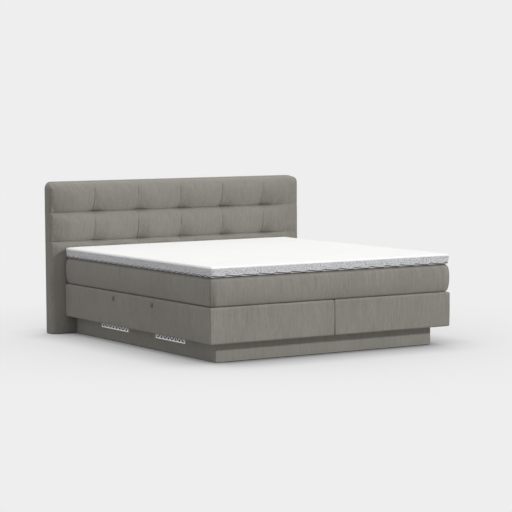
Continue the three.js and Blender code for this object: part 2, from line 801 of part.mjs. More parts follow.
function gasSpring(label, planeY) {
  const length = Math.hypot(gasLidX - gasBaseX, gasLidZ - gasBaseZ);
  const eyeY = around(0, gasEyeWidth);
  const throughY = [-gasEyeWidth / 2 - cutOverrun, gasEyeWidth / 2 + cutOverrun];
  const group = new THREE.Group();
  group.position.set(gasBaseX, planeY, gasBaseZ);
  group.rotation.y = -Math.atan2(gasLidZ - gasBaseZ, gasLidX - gasBaseX);
  bed.add(group);
  const tube = joined(yCylinder(gasEyeRadius, eyeY), xCylinder(gasTubeRadius, [gasTubeStart, gasTubeEnd]));
  const tubeBore = xCylinder(gasRodRadius + runningClearance, [gasTubeBoreStart, gasTubeEnd + cutOverrun]);
  const studHole = yCylinder(gasStudRadius + runningClearance, throughY);
  piece(`gas_spring_cylinder_${label}`, 'blackSteel', cut(tube, tubeBore, studHole), group);
  const eye = yCylinder(gasEyeRadius, eyeY);
  eye.translate(length, 0, 0);
  const openHole = yCylinder(gasStudRadius + openPivotClearance, throughY);
  openHole.translate(length, 0, 0);
  const rod = joined(eye, xCylinder(gasRodRadius, [gasRodInnerEnd, length - gasStudRadius - openPivotClearance]));
  piece(`gas_spring_rod_${label}`, 'steel', cut(rod, openHole), group);
}

// Inner faces of the lid brackets: the foot one stands on the base frame, the head one is on the rail
const lidBracketFaceY = [storageY[0], storageY[1] - seatGap - gasBracketThickness];

// Brackets that hold the gas spring's studs; end is -1 at the foot and 1 at the head
function gasBrackets(label, end, planeY) {
  const studEndY = planeY - end * (gasEyeWidth / 2 + gasStudOverhang);
  const ordered = (a, b) => [Math.min(a, b), Math.max(a, b)];
  const plinthFaceY = (end < 0 ? plinthFootInnerY : plinthHeadInnerY) - end * seatGap;
  const basePlateY = ordered(plinthFaceY, plinthFaceY - end * gasBracketThickness);
  const baseStud = yCylinder(gasStudRadius, ordered(plinthFaceY - (end * gasBracketThickness) / 2, studEndY));
  baseStud.translate(gasBaseX, 0, gasBaseZ);
  const basePlateZ = around(gasBaseZ, 2 * gasBracketMargin);
  const basePlate = boxBetween(around(gasBaseX, gasBracketWidth), basePlateY, basePlateZ);
  piece(`gas_spring_base_bracket_${label}`, 'steel', joined(basePlate, baseStud));
  const faceY = end < 0 ? lidBracketFaceY[0] : lidBracketFaceY[1];
  const lidPlateY = ordered(faceY, faceY + end * gasBracketThickness);
  const lidStud = yCylinder(gasStudRadius, ordered(faceY + (end * gasBracketThickness) / 2, studEndY));
  lidStud.translate(gasLidX, 0, gasLidZ);
  const bracketX = around(gasLidX, gasBracketWidth);
  const bracketTop = Math.min(gasLidZ + gasBracketMargin, deckBottom - seatGap);
  const lidParts = [boxBetween(bracketX, lidPlateY, [railBottom, bracketTop]), lidStud];
  if (end < 0) {
    const flangeY = [faceY - gasBracketFlange, faceY];
    lidParts.push(boxBetween(bracketX, flangeY, [railBottom, railBottom + gasBracketThickness]));
  }
  piece(`gas_spring_lid_bracket_${label}`, 'steel', joined(...lidParts));
}

// Whole bed
plinth();
plinthGlides();
restPads();
boxHalf('left', -1);
boxHalf('right', 1);
joiningPlates();
pullLoop('pull_loop_foot', midBedY + loopHeadShift - loopOffset);
pullLoop('pull_loop_head', midBedY + loopHeadShift + loopOffset);
mattressAndTopper();
headboard();
for (const [label, end] of [['foot', -1], ['head', 1]]) {
  liftHinge(label, midPlinthY + end * hingeOffset);
  const faceY = end < 0 ? lidBracketFaceY[0] : lidBracketFaceY[1];
  const planeY = faceY - end * gasStandoff;
  gasSpring(label, planeY);
  gasBrackets(label, end, planeY);
}

export default bed;
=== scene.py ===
import math

import bmesh
import bpy
import numpy as np
from mathutils import Matrix, Vector, noise

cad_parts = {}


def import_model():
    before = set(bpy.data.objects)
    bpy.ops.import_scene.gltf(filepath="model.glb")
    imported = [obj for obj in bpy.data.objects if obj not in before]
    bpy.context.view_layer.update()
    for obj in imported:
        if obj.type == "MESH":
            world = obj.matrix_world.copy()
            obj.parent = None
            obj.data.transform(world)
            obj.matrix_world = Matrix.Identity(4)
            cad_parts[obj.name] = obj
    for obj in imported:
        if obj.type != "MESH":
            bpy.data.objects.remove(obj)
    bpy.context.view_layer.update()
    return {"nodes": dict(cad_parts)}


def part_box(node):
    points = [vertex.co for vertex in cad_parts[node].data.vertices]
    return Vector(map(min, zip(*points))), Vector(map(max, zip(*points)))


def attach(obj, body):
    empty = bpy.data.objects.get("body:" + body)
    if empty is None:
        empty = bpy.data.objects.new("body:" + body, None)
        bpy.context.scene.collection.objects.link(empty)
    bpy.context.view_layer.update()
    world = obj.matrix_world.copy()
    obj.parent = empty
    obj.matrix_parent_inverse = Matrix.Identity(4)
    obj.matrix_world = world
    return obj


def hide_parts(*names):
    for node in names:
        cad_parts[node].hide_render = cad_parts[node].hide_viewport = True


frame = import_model()

# Lengths are in metres. NEAR counts as touching, and TINY keeps a divisor off zero.
MM = 0.001
NEAR = 1e-6
TINY = 1e-9


# Shares and places

def ramp(values, start, span):
    """0 up to the start, then straight up to 1 over the span."""
    return np.clip((values - start) / span, 0, 1)


def bell(far, width):
    return np.exp(-(far / width) ** 2)


SEED_SPREAD = (1.0, 0.7, 1.3)


def ripple(points, size, amount, seed):
    """Slow, soft unevenness of stuffed fabric, as an offset for each point."""
    offset = Vector([seed * share for share in SEED_SPREAD])
    return np.array([noise.noise(Vector(p) / size + offset) * amount for p in points])


def beside(places, distances):
    """The places, and one more on both sides of each at every distance."""
    lines = list(places)
    for place in places:
        lines += [place + side * far for far in distances for side in (1, -1)]
    return lines


EXTRA_ROOM = 0.45
LEAST_STEP = 0.2 * MM


def grid_lines(low, high, pitch, edge, edge_steps, extra=()):
    """Places from low to high about a pitch apart, finer near both ends, and the extra places.
    A place nearer to an extra one than EXTRA_ROOM of a pitch makes way for it."""
    inner_low = low + edge
    inner_high = high - edge
    count = max(1, round((inner_high - inner_low) / pitch))
    places = list(np.linspace(inner_low, inner_high, count + 1))
    for step in range(edge_steps):
        places += [low + edge * step / edge_steps, high - edge * step / edge_steps]
    room = pitch * EXTRA_ROOM
    places = [p for p in places if p in (low, high) or all(abs(p - e) > room for e in extra)]
    places += [e for e in extra if low < e < high]
    kept = []
    for place in sorted(places):
        if not kept or place - kept[-1] > LEAST_STEP:
            kept.append(place)
    return np.array(kept)


# Meshes

def new_object(name, verts, faces, material, smooth=True):
    mesh = bpy.data.meshes.new(name)
    mesh.from_pydata([tuple(v) for v in verts], [], [tuple(f) for f in faces])
    mesh.validate()
    mesh.polygons.foreach_set("use_smooth", [smooth] * len(mesh.polygons))
    mesh.update()
    mesh.materials.append(material)
    obj = bpy.data.objects.new(name, mesh)
    bpy.context.scene.collection.objects.link(obj)
    return obj


def declare(obj, body, slot, *replaced):
    """Says which body an object rides on and the CAD nodes it replaces. The slot is not used."""
    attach(obj, body)
    if replaced:
        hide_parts(*replaced)


def solidify(obj, thickness, offset=-1):
    """Gives an open surface its thickness."""
    modifier = obj.modifiers.new("Thickness", "SOLIDIFY")
    modifier.thickness = thickness
    modifier.offset = offset
    graph = bpy.context.evaluated_depsgraph_get()
    mesh = bpy.data.meshes.new_from_object(obj.evaluated_get(graph))
    obj.modifiers.clear()
    old = obj.data
    obj.data = mesh
    bpy.data.meshes.remove(old)


def box_lattice(xs, ys, zs):
    """Points and quads of the six gridded sides of a box, as (points, quads)."""
    index = {}
    points = []

    def at(i, j, k):
        key = (i, j, k)
        if key not in index:
            index[key] = len(points)
            points.append((xs[i], ys[j], zs[k]))
        return index[key]

    last_x, last_y, last_z = len(xs) - 1, len(ys) - 1, len(zs) - 1
    quads = []
    for i in range(last_x):
        for j in range(last_y):
            quads.append((at(i, j, 0), at(i, j + 1, 0), at(i + 1, j + 1, 0), at(i + 1, j, 0)))
            quads.append((
                at(i, j, last_z), at(i + 1, j, last_z), at(i + 1, j + 1, last_z), at(i, j + 1, last_z),
            ))
    for i in range(last_x):
        for k in range(last_z):
            quads.append((at(i, 0, k), at(i + 1, 0, k), at(i + 1, 0, k + 1), at(i, 0, k + 1)))
            quads.append((
                at(i, last_y, k), at(i, last_y, k + 1), at(i + 1, last_y, k + 1), at(i + 1, last_y, k),
            ))
    for j in range(last_y):
        for k in range(last_z):
            quads.append((at(0, j, k), at(0, j, k + 1), at(0, j + 1, k + 1), at(0, j + 1, k)))
            quads.append((
                at(last_x, j, k), at(last_x, j + 1, k), at(last_x, j + 1, k + 1), at(last_x, j, k + 1),
            ))
    return np.array(points), quads


def round_slab(points, half_x, half_y, low, high, rounding, inset=None):
    """Rounds a box lattice centred on x and y, by the radii of its plan corners, lower and upper edges.
    inset(lattice points) is how far the sides are drawn in."""
    corner, round_low, round_high = rounding
    eighth_turn = math.pi / 4
    x, y, z = points.T
    reach = np.minimum(half_x - np.abs(x), half_y - np.abs(y))
    drawn = reach.copy()
    new_z = z.copy()
    for height, radius, edge, sign in ((z - low, round_low, low, 1), (high - z, round_high, high, -1)):
        wall = (reach < NEAR) & (height < radius)
        cap = (height < NEAR) & (reach < radius)
        angle = eighth_turn * np.where(wall, 1 - height / radius, 1 + reach / radius)
        drawn = np.where(wall | cap, radius * (1 - np.cos(angle)), drawn)
        new_z = np.where(wall | cap, edge + sign * radius * (1 - np.sin(angle)), new_z)
    x = x * (half_x - drawn) / np.maximum(half_x - reach, TINY)
    y = y * (half_y - drawn) / np.maximum(half_y - reach, TINY)
    over_x = np.abs(x) - (half_x - corner)
    over_y = np.abs(y) - (half_y - corner)
    in_corner = (over_x > 0) & (over_y > 0)
    pull = np.maximum(over_x, over_y) / np.maximum(np.hypot(over_x, over_y), TINY)
    x = np.where(in_corner, np.sign(x) * (half_x - corner + over_x * pull), x)
    y = np.where(in_corner, np.sign(y) * (half_y - corner + over_y * pull), y)
    if inset is not None:
        amount = inset(points)
        x = x * (half_x - amount) / half_x
        y = y * (half_y - amount) / half_y
    return np.column_stack([x, y, new_z])


def rounded_path(half_x, half_y, corner, pitch, corner_steps=8):
    """Closed plan path round a rounded rectangle, as (points, outward directions)."""
    points = []
    outward = []
    corners = [(1, 1, 0), (-1, 1, 1), (-1, -1, 2), (1, -1, 3)]
    for number, (sign_x, sign_y, turn) in enumerate(corners):
        centre = Vector((sign_x * (half_x - corner), sign_y * (half_y - corner)))
        for step in range(corner_steps + 1):
            angle = math.pi / 2 * (turn + step / corner_steps)
            direction = Vector((math.cos(angle), math.sin(angle)))
            points.append(centre + direction * corner)
            outward.append(direction)
        next_x, next_y, next_turn = corners[(number + 1) % 4]
        start = points[-1]
        angle = math.pi / 2 * next_turn
        end = Vector((next_x * (half_x - corner), next_y * (half_y - corner)))
        end += Vector((math.cos(angle), math.sin(angle))) * corner
        count = max(2, round((end - start).length / pitch))
        for step in range(1, count):
            points.append(start.lerp(end, step / count))
            outward.append(outward[-1])
    return points, outward


def circle_profile(radius, sides=6):
    angles = [2 * math.pi * s / sides for s in range(sides)]
    return [(radius * math.cos(angle), radius * math.sin(angle)) for angle in angles]


def swept_ring(name, centre, path, profile, material, lifts=None):
    """Closed ring of a closed profile of (outward, height) points."""
    points, outward = path
    verts = []
    faces = []
    sides = len(profile)
    for number, (point, direction) in enumerate(zip(points, outward)):
        lift = lifts[number] if lifts else 0
        for out, height in profile:
            place = point + direction * out
            verts.append((centre[0] + place.x, centre[1] + place.y, centre[2] + height + lift))
    for step in range(len(points)):
        here = step * sides
        there = (step + 1) % len(points) * sides
        for side in range(sides):
            following = (side + 1) % sides
            faces.append((here + side, there + side, there + following, here + following))
    return new_object(name, verts, faces, material)


# Materials

class Nodes:
    """Short forms for building a node tree."""

    def __init__(self, tree):
        self.tree = tree

    def feed(self, socket, value):
        """Links a source to a socket, or sets the socket to a plain value."""
        if isinstance(value, bpy.types.NodeSocket):
            self.tree.links.new(value, socket)
        else:
            socket.default_value = value

    def add(self, kind, inputs=None, **settings):
        """New node with its settings, and with values or sources for some of its inputs."""
        node = self.tree.nodes.new(kind)
        for key, value in settings.items():
            setattr(node, key, value)
        for key, value in (inputs or {}).items():
            self.feed(node.inputs[key], value)
        return node

    def math(self, operation, *values):
        return self.add("ShaderNodeMath", dict(enumerate(values)), operation=operation).outputs[0]

    def weighted(self, *pairs):
        """Sum of sources, each times its weight."""
        terms = [self.math("MULTIPLY", source, weight) for source, weight in pairs]
        total = terms[0]
        for term in terms[1:]:
            total = self.math("ADD", total, term)
        return total

    def noise(self, vector, scale=1.0, detail=2.0, roughness=0.5):
        inputs = {"Vector": vector, "Scale": scale, "Detail": detail, "Roughness": roughness}
        return self.add("ShaderNodeTexNoise", inputs).outputs["Fac"]

    def scaled(self, vector, scale):
        return self.add("ShaderNodeMapping", {"Vector": vector, "Scale": scale}).outputs[0]

    def spread(self, value, low, high, end="From"):
        """Maps low to 0 and high to 1, or 0 to low and 1 to high where the end is To."""
        inputs = {"Value": value, f"{end} Min": low, f"{end} Max": high}
        return self.add("ShaderNodeMapRange", inputs).outputs["Result"]

    def mix_colour(self, factor, dark, light):
        inputs = {"Factor": factor, "A": dark, "B": light}
        return self.add("ShaderNodeMix", inputs, data_type="RGBA").outputs["Result"]

    def bump(self, height, distance, strength):
        inputs = {"Height": height, "Distance": distance, "Strength": strength}
        return self.add("ShaderNodeBump", inputs).outputs["Normal"]

    def show(self, lit, shown, output):
        """Takes what is seen directly from one shader, and all other light from the lit one."""
        path = self.add("ShaderNodeLightPath")
        seen = self.math("MAXIMUM", path.outputs["Is Camera Ray"], path.outputs["Is Glossy Ray"])
        seen = self.math("MAXIMUM", seen, path.outputs["Is Transmission Ray"])
        mix = self.add("ShaderNodeMixShader", {0: seen, 1: lit.outputs[0], 2: shown.outputs[0]})
        self.feed(self.tree.nodes[output].inputs["Surface"], mix.outputs[0])


class MaterialNodes(Nodes):
    """Node tree of a new material."""

    def __init__(self, name):
        self.material = bpy.data.materials.new(name)
        self.material.use_nodes = True
        super().__init__(self.material.node_tree)
        self.shader = self.tree.nodes["Principled BSDF"]

    def place(self):
        return self.add("ShaderNodeTexCoord").outputs["Object"]

    def finish(self, colour, roughness, metallic=0.0, sheen=0.0, normal=None):
        values = {
            "Base Color": colour, "Roughness": roughness, "Metallic": metallic,
            "Sheen Weight": sheen, "Sheen Roughness": 0.5,
        }
        if normal is not None:
            values["Normal"] = normal
        for key, value in values.items():
            self.feed(self.shader.inputs[key], value)
        return self.material


def srgb(red, green, blue):
    """Linear colour, with alpha, of an sRGB colour from 0 to 255."""
    def linear(value):
        share = value / 255
        return share / 12.92 if share <= 0.04045 else ((share + 0.055) / 1.055) ** 2.4
    return (linear(red), linear(green), linear(blue), 1)


def woven(name, dark, light, thread=1.5 * MM):
    """Plain weave of slubby heathered yarn, with slubs running up the cloth."""
    n = MaterialNodes(name)
    place = n.place()
    split = n.add("ShaderNodeSeparateXYZ", {0: place})
    across = n.math("ADD", split.outputs["X"], split.outputs["Y"])
    up = split.outputs["Z"]

    def yarn(across_scale, up_scale, detail=2):
        """Noise that many times finer across the cloth and up it."""
        joined = n.add("ShaderNodeCombineXYZ", {
            0: n.math("MULTIPLY", across, across_scale),
            1: n.math("MULTIPLY", up, up_scale),
        })
        return n.noise(joined.outputs[0], detail=detail, roughness=0.6)

    slubs = yarn(90, 5, detail=3)
    threads = yarn(420, 22)
    picks = yarn(30, 380)
    clouds = n.noise(place, scale=4)
    blend = n.weighted((slubs, 0.25), (threads, 0.28), (picks, 0.14), (clouds, 0.12))
    colour = n.mix_colour(n.spread(blend, 0.255, 0.535), dark, light)
    turn = math.pi / thread
    warp = n.math("SINE", n.math("MULTIPLY", across, turn))
    weft = n.math("SINE", n.math("MULTIPLY", up, turn))
    height = n.weighted((n.math("MULTIPLY", warp, weft), 0.4), (threads, 0.8))
    return n.finish(colour, 0.92, sheen=0.08, normal=n.bump(height, 0.35 * MM, 0.6))


def knitted(name, dark, light, cell):
    """Spacer knit with small open cells."""
    n = MaterialNodes(name)
    place = n.place()
    cells = n.add("ShaderNodeTexVoronoi", {"Vector": place, "Scale": 1 / cell}, feature="F1")
    distance = cells.outputs["Distance"]
    speckle = n.noise(place, scale=240, roughness=0.7)
    blend = n.weighted((distance, 0.495), (speckle, 0.6))
    colour = n.mix_colour(n.spread(blend, 0.35, 0.75), light, dark)
    return n.finish(colour, 0.9, normal=n.bump(distance, 0.5 * MM, 0.7))


def jersey(name, dark, light):
    """Fine smooth knit of the topper's top."""
    n = MaterialNodes(name)
    place = n.place()
    clouds = n.noise(place, scale=3)
    loops = n.noise(place, scale=650, roughness=0.6)
    colour = n.mix_colour(n.weighted((clouds, 0.6), (loops, 0.4)), dark, light)
    return n.finish(colour, 0.88, sheen=0.05, normal=n.bump(loops, 0.3 * MM, 0.4))


def planks(name, dark, light, grain):
    """Sawn wood with its grain along the axis of the lowest scale."""
    n = MaterialNodes(name)
    scaled = n.scaled(n.place(), grain)
    rings = n.noise(scaled, detail=5, roughness=0.6)
    fibres = n.noise(scaled, scale=9)
    blend = n.weighted((rings, 0.75), (fibres, 0.25))
    colour = n.mix_colour(n.spread(blend, 0.32, 0.66), dark, light)
    rough = n.spread(fibres, 0.55, 0.75, end="To")
    return n.finish(colour, rough, normal=n.bump(blend, 0.4 * MM, 0.35))


BRUSH = (30, 900, 900)


def metal(name, dark, light, roughness, metallic=1.0):
    """Brushed or coated metal, with fine lines and slight marks."""
    n = MaterialNodes(name)
    place = n.place()
    lines = n.noise(n.scaled(place, BRUSH))
    marks = n.noise(place, scale=35, detail=3)
    colour = n.mix_colour(n.weighted((lines, 0.5), (marks, 0.5)), dark, light)
    rough = n.spread(marks, roughness - 0.08, roughness + 0.1, end="To")
    return n.finish(colour, rough, metallic=metallic, normal=n.bump(lines, 0.05 * MM, 0.4))


def felted(name, dark, light, scale=800, roughness=0.97):
    """Matted fibres, foam or moulded plastic with an even, fine unevenness."""
    n = MaterialNodes(name)
    fibres = n.noise(n.place(), scale=scale, detail=3, roughness=0.7)
    colour = n.mix_colour(fibres, dark, light)
    return n.finish(colour, roughness, normal=n.bump(fibres, 0.4 * MM, 0.6))


BACKGROUND = srgb(238, 238, 238)
LINEN = woven("linen", srgb(113, 110, 104), srgb(149, 145, 138))
# A darker, flatter copy of the same linen for the headboard: painted shade for the light that falls off
# towards it.
SHADED_HEADBOARD_LINEN = woven("headboard_linen_painted_shade", srgb(115, 112, 106), srgb(142, 138, 131))
# A lighter copy of the same linen for the plinth boards: painted light that brightens the plinth where
# the floor's bounce falls short.
LIT_PLINTH_LINEN = woven("plinth_linen_painted_light", srgb(130, 128, 121), srgb(158, 155, 147))
LINING = felted("lining_cloth", srgb(34, 33, 33), srgb(52, 51, 50), scale=500)
TOPPER_WHITE = jersey("topper_jersey", srgb(226, 226, 225), srgb(235, 235, 234))
TOPPER_MESH = knitted("topper_spacer_knit", srgb(150, 151, 153), srgb(238, 239, 241), cell=5.5 * MM)
POCKETS = felted("spring_pocket_cloth", srgb(205, 205, 200), srgb(226, 226, 221), scale=420)
FOAM = felted("foam", srgb(222, 214, 190), srgb(240, 233, 212), scale=260)
WEBBING = woven("loop_webbing", srgb(92, 89, 84), srgb(114, 111, 105), thread=1.1 * MM)
ZIP = felted("zip_plastic", srgb(44, 44, 46), srgb(84, 84, 86), scale=60, roughness=0.5)
PINE = planks("pine", srgb(190, 158, 112), srgb(222, 194, 148), grain=(45, 2.5, 45))
PLYWOOD = planks("plywood", srgb(186, 158, 118), srgb(214, 188, 146), grain=(2.5, 40, 40))
STEEL = metal("zinc_plated_steel", srgb(150, 152, 154), srgb(186, 188, 190), 0.36)
VENT_METAL = metal("vent_sheet", srgb(214, 215, 216), srgb(234, 234, 234), 0.3)
BLACK_STEEL = metal("black_enamel", srgb(24, 24, 26), srgb(38, 38, 40), 0.38, metallic=0.0)
CHROMED = metal("chromed_rod", srgb(196, 198, 200), srgb(220, 221, 223), 0.16)
FELT = felted("felt", srgb(64, 62, 60), srgb(92, 90, 86))
RUBBER = felted("rubber", srgb(24, 24, 25), srgb(38, 38, 39), scale=300, roughness=0.8)

# The first start of a name that fits counts
NODE_MATERIALS = {
    "plinth_head": PLYWOOD,
    # The plinth's linen is the lighter copy: painted light.
    "plinth": LIT_PLINTH_LINEN,
    "storage": PLYWOOD,
    "vent": VENT_METAL,
    "glide": FELT,
    "rest_pad": RUBBER,
    "hinge": STEEL,
    "gas_spring_cylinder": BLACK_STEEL,
    "gas_spring_rod": CHROMED,
    "gas_spring": STEEL,
    "headboard_back": LINING,
    "headboard_post": PINE,
    "headboard_bolt": STEEL,
    "headboard_pad": SHADED_HEADBOARD_LINEN,
    "joining": STEEL,
    "pull_loop": WEBBING,
    "mattress_core": POCKETS,
    "mattress": LINEN,
    "topper_core": FOAM,
    "topper": TOPPER_WHITE,
}
# Ends of the names of the box halves' pieces
BOX_MATERIALS = {
    "base_frame": PINE,
    "rails": PINE,
    "slatted_deck": PINE,
    "spring_unit": POCKETS,
    "cover": LINEN,
}


def node_material(name):
    if name.startswith("box_"):
        return next(m for key, m in BOX_MATERIALS.items() if name.endswith(key))
    return next(m for key, m in NODE_MATERIALS.items() if name.startswith(key))


for node_name, node in frame["nodes"].items():
    node.data.materials.clear()
    node.data.materials.append(node_material(node_name))


# Cloth

HOLD_STEPS = 10
CLOTH_FRAMES = 18
FARTHEST = 6 * MM
CLOTH = {
    "quality": 5,
    "mass": 0.3,
    "tension_stiffness": 25,
    "compression_stiffness": 25,
    "shear_stiffness": 12,
    "bending_stiffness": 0.4,
    "air_damping": 2,
    "use_pressure": True,
    "uniform_pressure_force": 1.5,
    "shrink_min": -0.01,
}


def settle(obj, held):
    """Lets stuffed fabric settle as cloth by at most FARTHEST: held is each point's hold from 0 to 1.
    Only the faces with a free corner are simulated."""
    faces = [tuple(p.vertices) for p in obj.data.polygons if any(held[v] < 1 for v in p.vertices)]
    used = sorted({v for face in faces for v in face})
    index = {v: k for k, v in enumerate(used)}
    start = np.array([obj.data.vertices[v].co[:] for v in used])
    patch = new_object(obj.name + "_patch", start, [[index[v] for v in face] for face in faces], LINING)
    group = patch.vertex_groups.new(name="held")
    for share in range(1, HOLD_STEPS + 1):
        chosen = np.flatnonzero(np.round(held[used] * HOLD_STEPS) == share)
        if len(chosen):
            group.add(chosen.tolist(), share / HOLD_STEPS, "REPLACE")
    modifier = patch.modifiers.new("Cloth", "CLOTH")
    for key, value in CLOTH.items():
        setattr(modifier.settings, key, value)
    modifier.settings.vertex_group_mass = group.name
    modifier.settings.effector_weights.gravity = 0
    modifier.collision_settings.use_collision = False
    scene = bpy.context.scene
    for step in range(1, CLOTH_FRAMES + 1):
        scene.frame_set(step)
    evaluated = patch.evaluated_get(bpy.context.evaluated_depsgraph_get())
    settled = np.empty(len(used) * 3)
    evaluated.data.vertices.foreach_get("co", settled)
    moved = settled.reshape(-1, 3) - start
    far = np.linalg.norm(moved, axis=1)
    moved *= (FARTHEST * np.tanh(far / FARTHEST) / np.maximum(far, TINY))[:, None]
    old = patch.data
    bpy.data.objects.remove(patch)
    bpy.data.meshes.remove(old)
    for v, place in zip(used, start + moved):
        obj.data.vertices[v].co = place
    obj.data.update()
    scene.frame_set(1)


# Headboard pad

LOW_SEAM, HIGH_SEAM = 0.640, 0.842
LOW_ROLL, HIGH_ROLL, TOP_ROLL = 8 * MM, 17 * MM, 50 * MM
TUFT_PITCH, TUFT_SHIFT = 0.344, 0.024
TUFT_X = [(k - 2) * TUFT_PITCH + TUFT_SHIFT for k in range(5)]
FRONT_EDGE = 20 * MM
BACK_EDGE = 16 * MM
HEADBOARD_SHIFT = 12 * MM


def seam_pull(above, upper, lower):
    """Share of a seam's depth: a slow roll above it and a quick rise below it."""
    return np.where(above > 0, np.exp(-above / upper), np.exp(above / lower))


def rolls_sink(z, top):
    """How far the two rolls above the seams fall back at their feet and at their heads."""
    low_share = (z - LOW_SEAM) / (HIGH_SEAM - LOW_SEAM)
    high_share = (z - HIGH_SEAM) / (top - HIGH_SEAM)
    sunk = np.zeros(len(z))
    for share, depth, crest in ((high_share, HIGH_ROLL, 0.55), (low_share, LOW_ROLL, 0.7)):
        foot = depth * ((crest - share) / crest) ** 2
        sunk += np.where((share >= 0) & (share < crest), foot, 0)
    sunk += np.where(high_share > 0.4, 9 * MM * ((high_share - 0.4) / 0.6) ** 2, 0)
    in_low_head = (low_share > 0.6) & (low_share < 1)
    return sunk + np.where(in_low_head, 4 * MM * ((low_share - 0.6) / 0.4) ** 2, 0)


def tufts_sink(x, above, seam):
    """How far a seam's tufts draw the front in, with small folds that spread above each of them."""
    sunk = np.zeros(len(x))
    for number, tuft in enumerate(TUFT_X):
        aside = x - tuft
        far = np.hypot(aside, above)
        hollow = 30 * MM * bell(aside - 14 * MM, 62 * MM) * seam_pull(above, 52 * MM, 16 * MM)
        dent = 3 * MM * bell(far, 10 * MM)
        folds = np.cos(np.arctan2(aside, above) * 11 + number * 1.7 + seam * 9)
        ring = bell(far - 44 * MM, 28 * MM) * (above > 0)
        sunk += hollow + dent + 1.6 * MM * folds * ring * ramp(above, 0, 12 * MM)
    return sunk


def headboard_sink(x, z, top):
    """How far the front is drawn in at each point by its rolls, seams and tufts."""
    sunk = rolls_sink(z, top)
    fade = ramp(z, 0.50, 0.10)
    fade = fade * fade * (3 - 2 * fade)
    for tuft in TUFT_X:
        far = np.abs(x - tuft)
        stitch = 1.3 * MM * bell(far, 2 * MM)
        pull = 1.2 * MM * np.exp(-far / (16 * MM))
        sunk += fade * (stitch + pull)
    for seam, shelf in ((LOW_SEAM, LOW_ROLL), (HIGH_SEAM, HIGH_ROLL - 4 * MM)):
        above = z - seam
        stitch = 3.4 * MM * bell(above, 2.4 * MM)
        pull = 6.5 * MM * seam_pull(above, 30 * MM, 12 * MM)
        below = np.where(above < 0, shelf * np.exp(above / (14 * MM)), 0)
        sunk += stitch + pull + below + tufts_sink(x, above, seam)
    return sunk


def headboard_pad():
    low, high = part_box("headboard_pad")
    panel_low, panel_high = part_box("headboard_back_panel")
    # The fabric is built past the pad's lower edge and cut there
    below = 60 * MM
    top = high.z - 4 * MM
    half_x = (high.x - low.x) / 2 + 2 * MM
    half_z = (top - low.z + below) / 2
    depth = high.y - low.y
    middle_x = HEADBOARD_SHIFT
    middle_z = top - half_z
    near = (1.6 * MM, 4.5 * MM, 9 * MM)
    extra_x = beside([tuft - middle_x for tuft in TUFT_X], near)
    extra_x += [panel_low.x - middle_x, panel_high.x - middle_x]
    extra_z = beside([seam - middle_z for seam in (LOW_SEAM, HIGH_SEAM)], near)
    extra_z.append(panel_high.z - middle_z)
    pitch = 8 * MM
    xs = grid_lines(-half_x, half_x, pitch, edge=50 * MM, edge_steps=10, extra=extra_x)
    zs = grid_lines(-half_z, half_z, pitch, edge=50 * MM, edge_steps=10, extra=extra_z)
    ds = grid_lines(0, depth, 10 * MM, edge=FRONT_EDGE, edge_steps=5)
    lattice, quads = box_lattice(xs, zs, ds)
    corner = 48 * MM
    placed = round_slab(lattice, half_x, half_z, 0, depth, (corner, BACK_EDGE, FRONT_EDGE))
    x = lattice[:, 0] + middle_x
    z = lattice[:, 1] + middle_z
    from_front = depth - lattice[:, 2]
    from_side = half_x - np.abs(lattice[:, 0])
    from_top = top - z

    sunk = headboard_sink(x, z, top)
    sunk += ripple(np.column_stack([x, z, z * 0]), 0.16, 1.2 * MM, seed=3.1)
    side_turn = 1 - ramp(from_side, 0, 200 * MM)
    crown = np.where(x < 0, 28 * MM * side_turn ** 3, 3 * MM * side_turn ** 2)
    at_side = ramp(from_side, 0, 26 * MM)
    top_turn = 1 - ramp(from_top, 0, TOP_ROLL)
    crown += TOP_ROLL * (1 - np.sqrt(1 - top_turn ** 2)) * np.maximum(at_side, 0.3)
    right_margin = np.maximum(ramp(from_side, 60 * MM, 120 * MM), 0.08)
    margin = np.where(x < 0, np.maximum(at_side, 0.5), right_margin)
    on_front = 1 - ramp(from_front, FRONT_EDGE, depth - FRONT_EDGE)
    sunk = np.maximum(sunk * margin + crown, -0.5 * MM) * on_front
    front = high.y - (placed[:, 2] - sunk)
    verts = np.column_stack([placed[:, 0] + middle_x, front, placed[:, 1] + middle_z])

    behind_panel = (x > panel_low.x - NEAR) & (x < panel_high.x + NEAR) & (z < panel_high.z + NEAR)
    hidden = behind_panel & (lattice[:, 2] < NEAR)
    shown = [q for q in quads if not all(hidden[v] for v in q)]
    # The headboard's linen is the darker copy: painted shade.
    obj = new_object("headboard_upholstery", verts, shown, SHADED_HEADBOARD_LINEN)
    free = ramp(FRONT_EDGE - from_front, 0, 12 * MM) * ramp(z, 0.51, 60 * MM)
    free *= ramp(from_side, 0, 30 * MM) * ramp(from_top, 0, 30 * MM)
    for seam in (LOW_SEAM, HIGH_SEAM):
        free *= ramp(np.abs(z - seam), 2 * MM, 5 * MM)
    for tuft in TUFT_X:
        free *= ramp(np.abs(x - tuft), 1 * MM, 4 * MM)
    settle(obj, 1 - free)
    work = bmesh.new()
    work.from_mesh(obj.data)
    bmesh.ops.bisect_plane(
        work, geom=work.verts[:] + work.edges[:] + work.faces[:],
        plane_co=(0, 0, low.z), plane_no=(0, 0, 1), clear_inner=True,
    )
    work.to_mesh(obj.data)
    work.free()
    solidify(obj, 6 * MM)
    declare(obj, "plinth", "upholstery", "headboard_pad")


# Mattress and topper

PLAN_PITCH = 24 * MM
PROUD = 4 * MM


